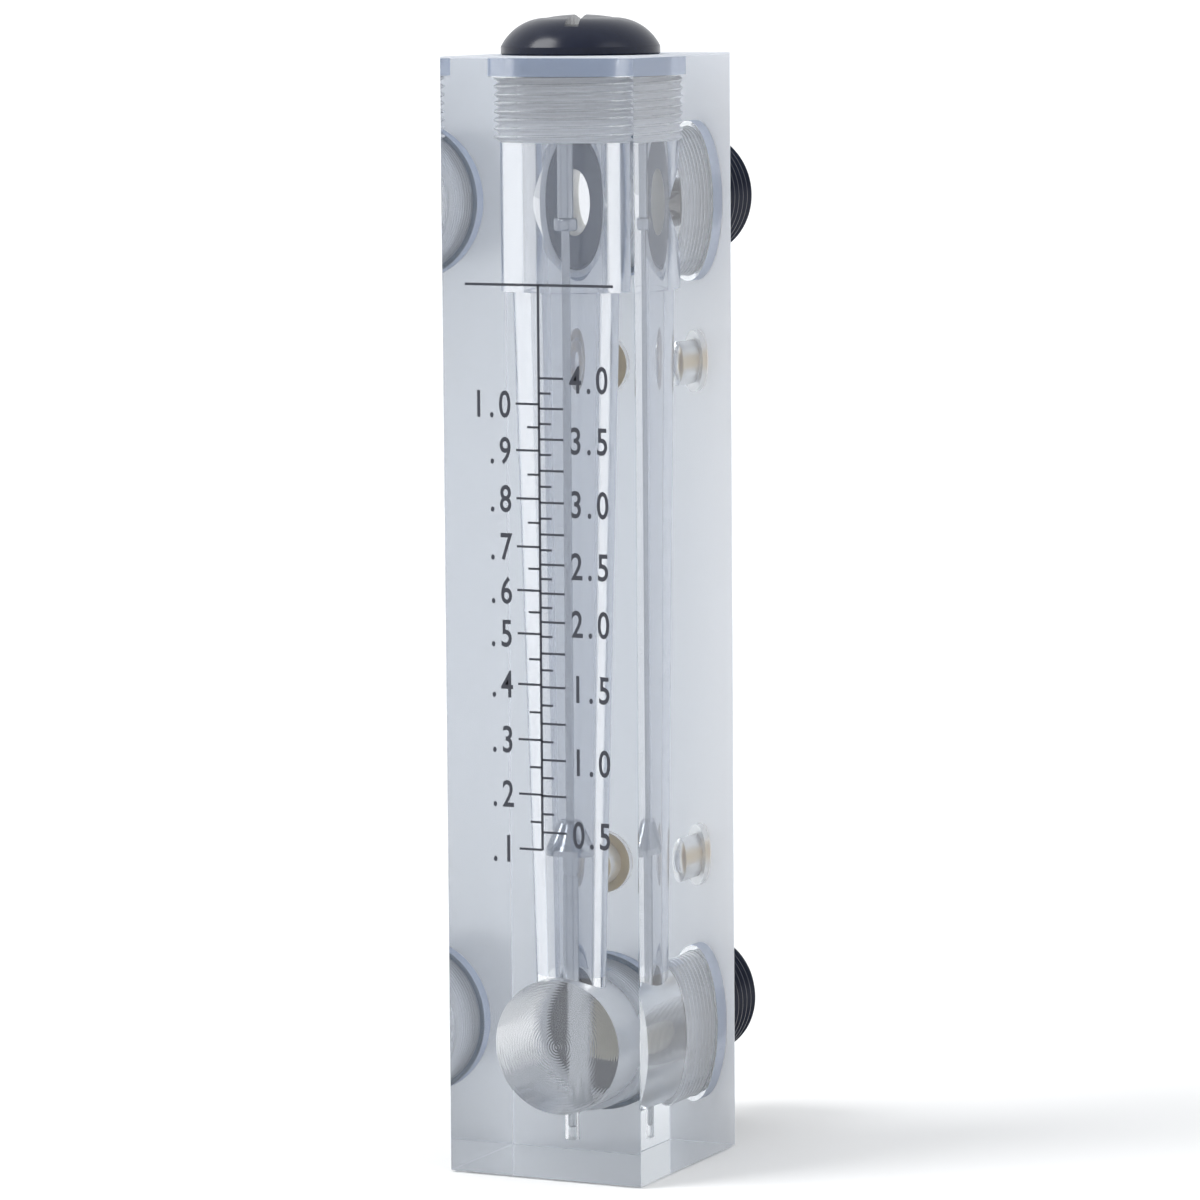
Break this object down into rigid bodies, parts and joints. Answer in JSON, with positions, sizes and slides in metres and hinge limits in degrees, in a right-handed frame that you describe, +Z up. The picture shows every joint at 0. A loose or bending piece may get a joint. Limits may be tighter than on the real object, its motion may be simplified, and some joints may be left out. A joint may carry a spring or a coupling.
{
  "type": "rotameter",
  "caption": "Clear acrylic panel rotameter: tapered metering bore with a guided steel float, slotted top plug, brass panel inserts and two threaded rear pipe ports.",
  "frame": {"origin": "centre of the clear block's bottom face", "axes": "+Z up the metering bore, +Y out of the back face along the pipe ports, +X to the right seen from the scale side"},
  "size_m": [0.034, 0.0622, 0.1864],
  "materials": {
    "acrylic": "clear polished",
    "black_plastic": "semi-gloss moulded",
    "rubber": "smooth",
    "brass": "turned",
    "steel": "polished turned stainless"
  },
  "bodies": {
    "housing": {"body": "acrylic", "top_plug": "black_plastic", "plug_o_ring": "rubber", "upper_connector": "black_plastic", "lower_connector": "black_plastic", "upper_o_ring": "rubber", "lower_o_ring": "rubber", "upper_insert": "brass", "lower_insert": "brass", "guide_rod": "steel", "upper_sleeve": "steel", "lower_sleeve": "steel", "upper_stop": "steel"},
    "float_body": {"float": "steel"}
  },
  "joints": [
    {"name": "float_rise", "type": "slide", "parent": "housing", "child": "float_body", "axis": [0, 0, 1], "range_m": [0, 0.0955]}
  ]
}
